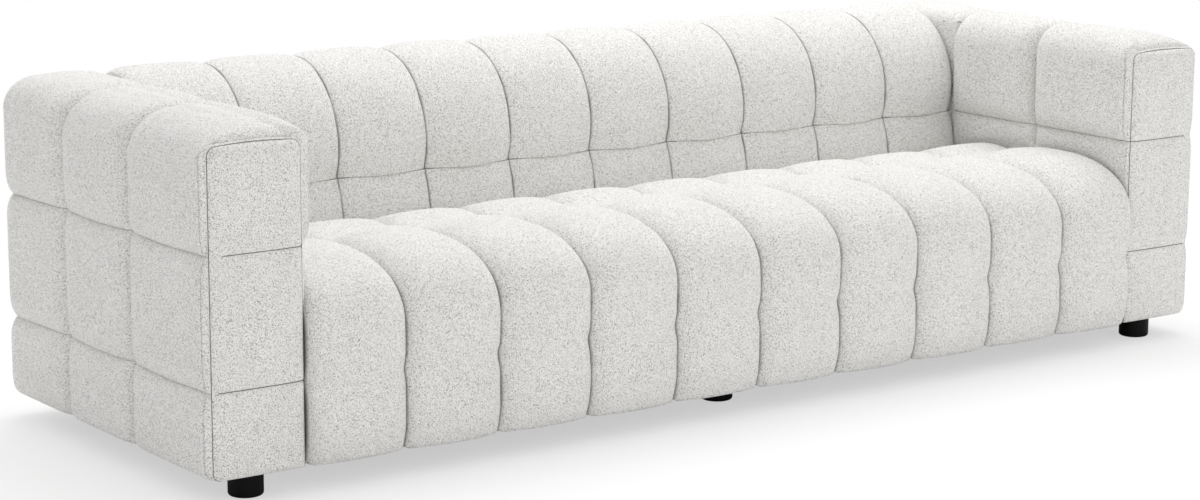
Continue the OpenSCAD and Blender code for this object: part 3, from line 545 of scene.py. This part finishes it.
def backSection():
    s = backShape
    line = []
    for z in np.linspace(s["tuckZ"], s["joinZ"], s["tuckRows"])[:-1]:
        line.append((s["joinY"], z, 0.0, 1.0))
    for t in seamShares(s["stripRows"]):
        z = s["joinZ"] + t * (body["highZ"] - s["joinZ"])
        y = s["joinY"] + t * (s["frontY"] - s["joinY"])
        crown = (s["stripCrown"] * float(edgeRound(body["highZ"] - z, s["stripEdge"]))
                 * float(ease(z - s["joinZ"] + s["stripRise"] / 2, s["stripRise"])))
        line.append((y, z, crown, 1.0))
    near, nearby, clear = (body["highZ"] + step for step in s["besideSeam"])
    rollZ = body["backZ"] - s["rollHeight"]
    for z in (near, nearby, *np.linspace(clear, rollZ, s["frontRows"])):
        line.append((s["frontY"], z, s["crown"], float(edgeRound(z - body["highZ"], s["swell"]))))
    for a in np.linspace(0, np.pi / 2, s["rollSteps"])[1:]:
        y = s["frontY"] + s["rollDepth"] * (1 - np.cos(a))
        z = body["backZ"] - s["rollHeight"] * (1 - np.sin(a))
        line.append((y, z, s["crown"] + (s["topCrown"] - s["crown"]) * np.sin(a), 1.0))
    for a in np.linspace(0, np.pi / 2, s["rearSteps"])[1:]:
        y = body["rearY"] - s["rearRoll"] * (1 - np.sin(a))
        z = body["backZ"] - s["rearRoll"] * (1 - np.cos(a))
        line.append((y, z, s["topCrown"] + (s["rearCrown"] - s["topCrown"]) * np.sin(a), 1.0))
    below = np.linspace(body["backZ"] - s["rearRoll"], clear, s["rearRows"])[1:]
    for z in (*below, nearby, near):
        full = float(edgeRound(z - body["highZ"], s["swell"]))
        line.append((body["rearY"], z, s["rearCrown"], full))
    line.append((body["rearY"], body["highZ"], s["rearCrown"], 0.0))
    return withOutward(line, -1)


section = backSection()
crease = alongAt(section, z=body["highZ"])
roots = [(backShape["rootY"], body["highZ"]), (backShape["rootY"], backShape["tuckZ"])]
back, seamLines, levelLine = channelPiece(
    "backChannels", section, roots, [{"at": crease, **backShape["tuft"]}], backShape,
    {"at": crease, **backShape["sag"]})
cutRoom(back, backShape["roomLow"], backShape["roomHigh"], backShape["roomCorner"])
finishPad(back, backShape["fill"], "back_cover")
seamTubes("backSeamShade", seamLines + [levelLine], backShape["seamShadeLine"])
print("back made")


# rear of the back, two rows under the top pillows
rearShape = {
    "crown": 0.020, "rowEdge": 0.06, "baseLift": 0.02, "rowSteps": 26, "topGap": 0.0003,
    "hemIn": 0.004, "hemFull": 0.6, "rootY": 0.390,
    "rowShare": 0.12, "edgeWidth": 0.07, "endWidth": 0.05,
    "seamSink": 0.0, "endSink": 0.0, "endReach": 0.05, "endShade": 0.0,
    "tuft": {"row": 0.0, "rowReach": 0.02, "reach": 0.03, "spot": 0.5, "sink": 0.004},
    "fill": 0.7, "seamShadeLine": 0.0008,
}


def rearSection():
    s = rearShape
    line = []
    for low, high, lift in ((body["lowZ"], body["highZ"] - s["topGap"], 0),
                            (body["baseZ"], body["lowZ"], s["baseLift"])):
        for t in seamShares(s["rowSteps"])[:-1]:
            z = high - t * (high - low)
            full = min(edgeRound(high - z, s["rowEdge"]), edgeRound(z - low + lift, s["rowEdge"]))
            line.append((body["rearY"], z, 1.0, 0.0, s["crown"], float(full)))
    line.append((body["rearY"] - s["hemIn"], body["baseZ"], 1.0, 0.0, s["crown"], s["hemFull"]))
    return np.array(line)


section = rearSection()
roots = [(rearShape["rootY"], body["baseZ"]),
         (rearShape["rootY"], body["highZ"] - rearShape["topGap"])]
rear, seamLines, levelLine = channelPiece(
    "backRearChannels", section, roots,
    [{"at": alongAt(section, z=body["lowZ"]), **rearShape["tuft"]}], rearShape)
finishPad(rear, rearShape["fill"], "back_rear_cover")
seamTubes("backRearSeamShade", seamLines + [levelLine], rearShape["seamShadeLine"])
print("rear made")


# arms: rings along the arm, then turned round the rear edge
armShape = {
    "seamY": -0.104, "cornerY": 0.164, "outerR": 0.085, "innerR": 0.060, "panelR": 0.018,
    "flatR": 0.022, "footR": 0.014, "rollDepth": 0.100, "rearR": 0.042, "rearOuterR": 0.055,
    "tighten": 0.6, "crown": 0.018, "innerCrown": 0.025, "stripCrown": 0.010,
    "stripEdge": 0.03, "seatGap": 0.012, "rearCrown": 0.020, "rearRound": 3.2, "arch": 0.003,
    "rowEdge": 0.045, "footLift": 0.004, "columnEdge": 0.060, "frontEdge": 0.016,
    "frontLead": 0.007, "topCrown": 0.005, "topDrop": 1.4, "columnSink": 0.013,
    "sinkReach": 0.034, "sag": 0.003, "sagReach": 0.045, "frontRings": 40, "middleRings": 36,
    "rearRings": 22, "cornerRings": 18, "topSteps": 24, "turnSteps": 15,
    "bottomRow": 22, "middleRow": 28, "topRow": 13, "seamPast": 6, "cornerPast": 12,
    "roomLow": (1.071, -0.447, 0.0), "roomHigh": (1.208, 0.375, 0.625), "fill": 0.75,
    "seamShadeLine": 0.0008,
}


def seatSeamZ(y):
    # height of the seat's end seam at a place along the arm
    s = seatShape
    if y > s["frontY"] + s["rollDepth"]:
        return s["joinZ"] + (s["topZ"] - s["joinZ"]) * float(ease(s["joinY"] - y, s["rise"]))
    back = (s["frontY"] + s["rollDepth"] - y) / s["rollDepth"]
    return s["topZ"] - s["rollHeight"] * (1 - np.sqrt(max(0.0, 1 - back ** 2)))


def armLevels(top, radius):
    # heights of a half section, the same number on both sides, and the turn of its top edge
    a, base, low, high = armShape, body["baseZ"], body["lowZ"], body["highZ"]
    steps = a["turnSteps"]
    z = [base + t * (low - base) for t in seamShares(a["bottomRow"])[:-1]]
    z += [low + t * (high - low) for t in seamShares(a["middleRow"])[:-1]]
    z += [high + t * (top - radius - high)
          for t in 1 - np.cos(np.pi / 2 * np.linspace(0, 1, a["topRow"]))]
    turn = np.concatenate([np.zeros(len(z)), np.linspace(0, np.pi / 2, steps)[1:]])
    z = np.concatenate([z, np.full(steps - 1, top - radius)]) + radius * np.sin(turn)
    return z, turn


def rowFull(z):
    # 0 on a level seam and 1 over the middle of a row
    base, low, high = body["baseZ"] - armShape["footLift"], body["lowZ"], body["highZ"]
    bottomRow, middleRow = z < low - 1e-9, z < high - 1e-9
    under = np.where(bottomRow, base, np.where(middleRow, low, high))
    over = np.where(bottomRow, low, np.where(middleRow, high, 9))
    edge = armShape["rowEdge"]
    return np.minimum(edgeRound(z - under, edge), edgeRound(over - z, edge))


def armRing(y, top, outR, inR, ups, drops=(0, 0), share=0.0, inset=0.0, angle=0.0, besideSeat=True):
    # one ring: up the outer side, over the top, and down the inner side
    a = armShape
    (outerUp, innerUp), (outerDrop, innerDrop) = ups, drops
    flatten, swing = np.cos(angle), np.sin(angle)
    z, turn = armLevels(top, outR)
    full = rowFull(z)
    foot = a["footR"] - np.minimum(z - body["baseZ"], a["footR"])
    foot = a["footR"] - np.sqrt(np.maximum(a["footR"] ** 2 - foot ** 2, 0))
    swell = a["crown"] * full * outerUp - outerDrop
    outerX = (body["outX"] - inset - foot - outR * (1 - np.cos(turn))
              + np.cos(turn) * swell * flatten)
    topSwell = a["topCrown"] * outerUp - a["topDrop"] * outerDrop
    outerZ = z + np.sin(turn) * topSwell * full * flatten
    outerZ -= a["sag"] * np.sin(np.pi * share) ** 2 * (bell(z - body["lowZ"], a["sagReach"])
                                                       + bell(z - body["highZ"], a["sagReach"]))
    reach = y + a["rearR"] * swing
    outerY = reach + full * a["rearCrown"] * swing - foot * swing
    z, turn = armLevels(top, inR)
    if besideSeat:
        side = seatSeamZ(y) + a["seatGap"]
        fromSeat = edgeRound(z - side, a["stripEdge"])
        strip = np.minimum(fromSeat, edgeRound(body["highZ"] - z, a["stripEdge"]))
        above = a["innerCrown"] * edgeRound(z - body["highZ"], a["rowEdge"])
        crown = np.where(z < body["highZ"] - 1e-9, a["stripCrown"] * strip, above)
        crown = (crown * innerUp - innerDrop * fromSeat) * np.cos(turn)
        crown += topSwell * np.sin(turn)
        innerX = body["inX"] + inR * (1 - np.cos(turn)) - np.cos(turn) * crown
    else:
        crown = topSwell * flatten * np.sin(turn)
        innerX = body["inX"] + inR * (1 - np.cos(turn))
    innerZ = z + np.sin(turn) * crown
    t = seamShares(a["topSteps"] + 2)[1:-1]
    topX = outerX[-1] + t * (innerX[-1] - outerX[-1])
    topY = reach + a["rearCrown"] * swing * np.sqrt(1 - t ** a["rearRound"])
    topZ = outerZ[-1] + t * (innerZ[-1] - outerZ[-1]) + a["arch"] * np.sin(np.pi * t)
    return np.column_stack([
        np.concatenate([outerX, topX, innerX[::-1]]),
        np.concatenate([outerY, topY, np.full(len(z), reach)]),
        np.concatenate([outerZ, topZ, innerZ[::-1]])])


def columnUp(distance):
    # how full a pillow is beside a seam that crosses the arm
    return edgeRound(distance, armShape["columnEdge"])


def columnDrop(distance):
    # how deep the fabric is drawn in beside a seam that crosses the arm
    return armShape["columnSink"] * float(1 - edgeRound(distance, armShape["sinkReach"]))


def frontRing(y):
    # the arm's section just behind its front panel, also the border of the panel
    a = armShape
    behind = max(0.0, y - body["panelY"])
    grow = np.sqrt(1 - (1 - min(1.0, behind / a["rollDepth"])) ** 2)
    top = body["panelZ"] + (body["armZ"] - body["panelZ"]) * grow
    outR = a["panelR"] + (a["outerR"] - a["panelR"]) * grow
    inR = a["panelR"] + (a["innerR"] - a["panelR"]) * grow
    start = float(edgeRound(y - body["panelY"] + a["frontLead"], a["frontEdge"]))
    up = start * float(columnUp(a["seamY"] - y))
    drop = columnDrop(a["seamY"] - y)
    share = min(1.0, behind / (a["seamY"] - body["panelY"]))
    return armRing(y, top, outR, inR, (up, up), (drop, drop), share)


def armRings():
    # all rings of an arm and the place of each along it
    a = armShape
    rings, places = [], []
    length = a["seamY"] - body["panelY"]
    for t in seamShares(a["frontRings"])[:-1]:
        rings.append(frontRing(body["panelY"] + t * length))
        places.append(body["panelY"] + t * length)
    length = a["cornerY"] - a["seamY"]
    for t in seamShares(a["middleRings"])[:-1]:
        y = a["seamY"] + t * length
        up = float(columnUp(y - a["seamY"]) * columnUp(a["cornerY"] - y))
        drop = columnDrop(y - a["seamY"])
        rings.append(armRing(y, body["armZ"], a["outerR"], a["innerR"], (up, up),
                             (drop + columnDrop(a["cornerY"] - y), drop), t))
        places.append(y)
    length = body["rearY"] - a["rearR"] - a["cornerY"]
    for t in 1 - np.cos(np.pi / 2 * np.linspace(0, 1, a["rearRings"])):
        y = a["cornerY"] + t * length
        outR = a["outerR"] + (a["rearOuterR"] - a["outerR"]) * t
        rings.append(armRing(y, body["armZ"], outR, a["flatR"],
                             (float(columnUp(y - a["cornerY"])), 0),
                             (columnDrop(y - a["cornerY"]), 0), t * 0.5, besideSeat=False))
        places.append(y)
    for angle in np.linspace(0, np.pi / 2, a["cornerRings"])[1:]:
        inset = a["rearR"] * (1 - np.cos(angle))
        rings.append(armRing(body["rearY"] - a["rearR"], body["armZ"] - inset,
                             a["rearOuterR"] - a["tighten"] * inset, a["flatR"], (1.0, 0), (0, 0),
                             0.5 + 0.5 * angle / np.pi, inset, angle, False))
        places.append(9)
    return np.array(rings), np.array(places)


def sleeve(name, rings, cap, side):
    # rings joined to a closed pad: a plain end on the first, and a cap of columns on the last
    count, n = rings.shape[:2]
    across = armShape["topSteps"]
    h = (n - across) // 2
    index = np.arange(count * n).reshape(count, n)
    faces = np.stack([index[:-1, :-1], index[1:, :-1], index[1:, 1:], index[:-1, 1:]], -1)
    faces = faces.reshape(-1, 4).tolist()
    faces += np.stack([index[:-1, 0], index[:-1, -1], index[1:, -1], index[1:, 0]], -1).tolist()
    faces.append(index[0].tolist())
    own = count * n + np.arange(across * (h - 1)).reshape(across, h - 1)
    last = index[-1]
    columns = [last[:h]]
    columns += [np.append(own[j], last[h + j]) for j in range(across)]
    columns.append(last[::-1][:h])
    columns = np.array(columns)
    quads = np.stack([columns[:-1, :-1], columns[:-1, 1:], columns[1:, 1:], columns[1:, :-1]], -1)
    faces += quads.reshape(-1, 4).tolist()
    faces.append(columns[:, 0][::-1].tolist())
    verts = np.concatenate([rings.reshape(-1, 3), cap[:, :-1].reshape(-1, 3)])
    verts[:, 2] = np.maximum(verts[:, 2], body["baseZ"])
    verts[:, 0] *= side
    piece = makeObject(name, verts, faces, fabric)
    outward(piece)
    setCreaseShade(piece, np.zeros(len(verts)))
    return piece


def capColumns(ring, bend):
    # columns of points between the two sides of a ring, set in y by bend
    across = armShape["topSteps"]
    h = (len(ring) - across) // 2
    outer, inner = ring[:h], ring[::-1][:h]
    columns = []
    for j, t in enumerate(seamShares(across + 2)[1:-1]):
        column = outer + t * (inner - outer)
        column[:, 1] = bend(t, outer, inner, column)
        column[-1] = ring[h + j]
        columns.append(column)
    return np.array(columns)


def rearBend(t, outer, inner, column):
    return inner[:, 1] + (outer[:, 1] - inner[:, 1]) * np.sqrt(1 - t ** armShape["rearRound"])


def armPad(side):
    a = armShape
    rings, places = armRings()
    cap = capColumns(rings[-1], rearBend)
    word = "Left" if side < 0 else "Right"
    piece = sleeve("armPad" + word, rings, cap, side)
    low, high = a["roomLow"], a["roomHigh"]
    if side < 0:
        low, high = (-high[0], *low[1:]), (-low[0], *high[1:])
    cutRoom(piece, low, high)
    finishPad(piece, a["fill"], "arm_cover_" + word.lower())
    # dark lines of painted crease shade along the sewn seams: level on both sides, and across the
    # arm at its two seams
    h = (rings.shape[1] - a["topSteps"]) // 2
    heights = armLevels(body["armZ"], a["outerR"])[0]
    lines = []
    for z in (body["lowZ"], body["highZ"]):
        k = int(np.argmin(np.abs(heights - z)))
        lines.append(np.concatenate([rings[:, k], cap[:, k]]))
    corner = int(np.argmin(np.abs(places - a["cornerY"])))
    lines.append(rings[:corner, -1 - k])
    middle = int(np.argmin(np.abs(places - a["seamY"])))
    lines.append(rings[middle, 1:-k + a["seamPast"]])
    lines.append(rings[corner, 1:h + a["topSteps"] + a["cornerPast"]])
    seamTubes("armSeamShade" + word, [line * [side, 1, 1] for line in lines], a["seamShadeLine"])


armPad(-1)
armPad(1)
print("arms made")


# front panels of the arms
panelShape = {
    "edge": 0.005, "crown": 0.007, "lip": 0.016, "seamDepth": 0.0030, "seamWidth": 0.0024,
    "seamFade": 0.008, "fold": 0.50, "foldWidth": 0.020, "ringY": (-0.397, -0.4005, -0.4030),
    "seamStart": {"lowZ": 0.006, "highZ": 0.020}, "shadeLineLead": 0.003, "topLip": 0.0004,
    "footLip": 0.001, "roundness": 0.5, "fill": 0.7, "seamShadeLine": 0.0009,
}


def panelBend(t, outer, inner, column):
    p = panelShape
    height = outer[:, 2]
    fromSide = np.minimum(outer[:, 0] - column[:, 0], column[:, 0] - inner[:, 0])
    fromEnd = np.minimum(body["panelZ"] - height + p["topLip"],
                         height - body["baseZ"] + p["footLip"])
    lip = edgeRound(np.minimum(fromSide, fromEnd), p["lip"])
    row = np.ones(len(height))
    groove = np.zeros(len(height))
    for level, start in p["seamStart"].items():
        away = height - body[level]
        row *= 1 - p["fold"] * bell(away, p["foldWidth"])
        inside = np.clip((outer[:, 0] - column[:, 0] - start) / p["seamFade"], 0, 1)
        groove += p["seamDepth"] * inside * bell(away, p["seamWidth"])
    out = lip * (p["edge"] + p["crown"] * row * np.sin(np.pi * t) ** p["roundness"])
    return body["frontY"] + p["edge"] - out + groove


def armPanel(side):
    p = panelShape
    radius = armShape["panelR"]
    rings = [frontRing(y) for y in p["ringY"]]
    # the sewn border stands square to the front, without the side's swell
    border = armRing(body["frontY"] + p["edge"], body["panelZ"], radius, radius, (0, 0))
    rings = np.array(rings + [border])
    for ring, y in zip(rings, (*p["ringY"], body["frontY"] + p["edge"])):
        ring[:, 1] = y
    cap = capColumns(border, panelBend)
    word = "Left" if side < 0 else "Right"
    piece = sleeve("armPanel" + word, rings, cap, side)
    finishPad(piece, p["fill"], "arm_front_cover_" + word.lower())
    heights = armLevels(body["panelZ"], radius)[0]
    # dark lines of painted crease shade along the panel's sewn seams and round its border
    lines = []
    for level, start in p["seamStart"].items():
        k = int(np.argmin(np.abs(heights - body[level])))
        line = cap[:, k]
        line = line[body["outX"] - line[:, 0] > start + p["shadeLineLead"]]
        lines.append(np.concatenate([line, border[None, -1 - k]]))
    lines.append(border)
    seamTubes("panelSeamShade" + word, [line * [side, 1, 1] for line in lines], p["seamShadeLine"])


armPanel(-1)
armPanel(1)
print("panels made")


# floor, light and camera
stageLook = {
    "floor": (0.95, 0.95, 0.95), "floorRoughness": 0.9, "floorGloss": 0.1, "floorHalf": 40,
    "squeeze": (0.6, 1.0, 0.0),  # the white begins further out at the sofa's ends
    "fade": (0.9, 2.6, 0.55, 1.0), "world": 0.74, "aim": (0, 0, 0.3),
    "topLight": {"place": (0.9, 1.3, 3.9), "size": (4.2, 2.6), "power": 100},
    "frontLight": {"place": (1.8, -5.8, 2.4), "size": (3.6, 2.4), "power": 32},
}
floorMaterial = bpy.data.materials.new("paleFloor")
tree, shader = shaderOf(floorMaterial)
shader.inputs["Base Color"].default_value = (*stageLook["floor"], 1)
shader.inputs["Roughness"].default_value = stageLook["floorRoughness"]
shader.inputs["Specular IOR Level"].default_value = stageLook["floorGloss"]
# away from the sofa the floor turns white, and near it the shadow stays
place = addNode(tree, "ShaderNodeTexCoord").outputs["Object"]
squeeze = addNode(tree, "ShaderNodeMapping")
squeeze.inputs["Scale"].default_value = stageLook["squeeze"]
tree.links.new(place, squeeze.inputs["Vector"])
far = addNode(tree, "ShaderNodeVectorMath", operation="LENGTH")
tree.links.new(squeeze.outputs[0], far.inputs[0])
reachOut = addNode(tree, "ShaderNodeMapRange")
reachOut.interpolation_type = "SMOOTHSTEP"
for socket, value in zip(("From Min", "From Max", "To Min", "To Max"), stageLook["fade"]):
    reachOut.inputs[socket].default_value = value
tree.links.new(far.outputs["Value"], reachOut.inputs["Value"])
seen = addNode(tree, "ShaderNodeLightPath")
mask = addNode(tree, "ShaderNodeMath", operation="MULTIPLY")
tree.links.new(reachOut.outputs["Result"], mask.inputs[0])
tree.links.new(seen.outputs["Is Camera Ray"], mask.inputs[1])
glow = addNode(tree, "ShaderNodeEmission", Color=(1, 1, 1, 1), Strength=1.0)
choice = addNode(tree, "ShaderNodeMixShader")
tree.links.new(mask.outputs[0], choice.inputs[0])
tree.links.new(shader.outputs[0], choice.inputs[1])
tree.links.new(glow.outputs[0], choice.inputs[2])
tree.links.new(choice.outputs[0], tree.nodes["Material Output"].inputs["Surface"])
half = stageLook["floorHalf"]
corners = [(-half, -half, 0), (half, -half, 0), (half, half, 0), (-half, half, 0)]
floor = makeObject("floor", corners, [[0, 1, 2, 3]], floorMaterial, False)


def softLight(name):
    look = stageLook[name]
    light = bpy.data.lights.new(name, "AREA")
    light.shape = "RECTANGLE"
    light.size, light.size_y = look["size"]
    light.energy = look["power"]
    lamp = bpy.data.objects.new(name, light)
    bpy.context.scene.collection.objects.link(lamp)
    lamp.location = look["place"]
    aim = Vector(stageLook["aim"]) - Vector(look["place"])
    lamp.rotation_euler = aim.to_track_quat("-Z", "Y").to_euler()


softLight("topLight")
softLight("frontLight")

world = bpy.data.worlds.new("studio")
bpy.context.scene.world = world
world.use_nodes = True
tree = world.node_tree
tree.nodes.clear()
seen = addNode(tree, "ShaderNodeLightPath")
room = addNode(tree, "ShaderNodeBackground", Color=(1, 1, 1, 1), Strength=stageLook["world"])
white = addNode(tree, "ShaderNodeBackground", Color=(1, 1, 1, 1), Strength=1.0)
choice = addNode(tree, "ShaderNodeMixShader")
output = addNode(tree, "ShaderNodeOutputWorld")
glossy = addNode(tree, "ShaderNodeMath", operation="MAXIMUM")
clear = addNode(tree, "ShaderNodeMath", operation="MAXIMUM")
tree.links.new(seen.outputs["Is Camera Ray"], glossy.inputs[0])
tree.links.new(seen.outputs["Is Glossy Ray"], glossy.inputs[1])
tree.links.new(glossy.outputs[0], clear.inputs[0])
tree.links.new(seen.outputs["Is Transmission Ray"], clear.inputs[1])
tree.links.new(clear.outputs[0], choice.inputs[0])
tree.links.new(room.outputs[0], choice.inputs[1])
tree.links.new(white.outputs[0], choice.inputs[2])
tree.links.new(choice.outputs[0], output.inputs[0])

cameraView = {
    "place": (-3.6262, -4.8686, 1.4654), "yaw": 35.929, "down": 11.1716, "roll": 0.258,
    "lens": 87.593, "sensor": 36, "far": 100,
}
yaw, down, roll = (np.radians(cameraView[k]) for k in ("yaw", "down", "roll"))
ahead = Vector((np.sin(yaw) * np.cos(down), np.cos(yaw) * np.cos(down), -np.sin(down)))
level = Vector((np.cos(yaw), -np.sin(yaw), 0))
upward = level.cross(ahead)
across = level * np.cos(roll) + upward * np.sin(roll)
above = upward * np.cos(roll) - level * np.sin(roll)
lens = bpy.data.cameras.new("camera")
lens.lens = cameraView["lens"]
lens.sensor_width = cameraView["sensor"]
lens.clip_end = cameraView["far"]
camera = bpy.data.objects.new("camera", lens)
bpy.context.scene.collection.objects.link(camera)
camera.matrix_world = Matrix((
    (across.x, above.x, -ahead.x, cameraView["place"][0]),
    (across.y, above.y, -ahead.y, cameraView["place"][1]),
    (across.z, above.z, -ahead.z, cameraView["place"][2]),
    (0, 0, 0, 1)))
bpy.context.scene.camera = camera
bpy.context.scene.view_settings.view_transform = "Standard"
print("stage made")
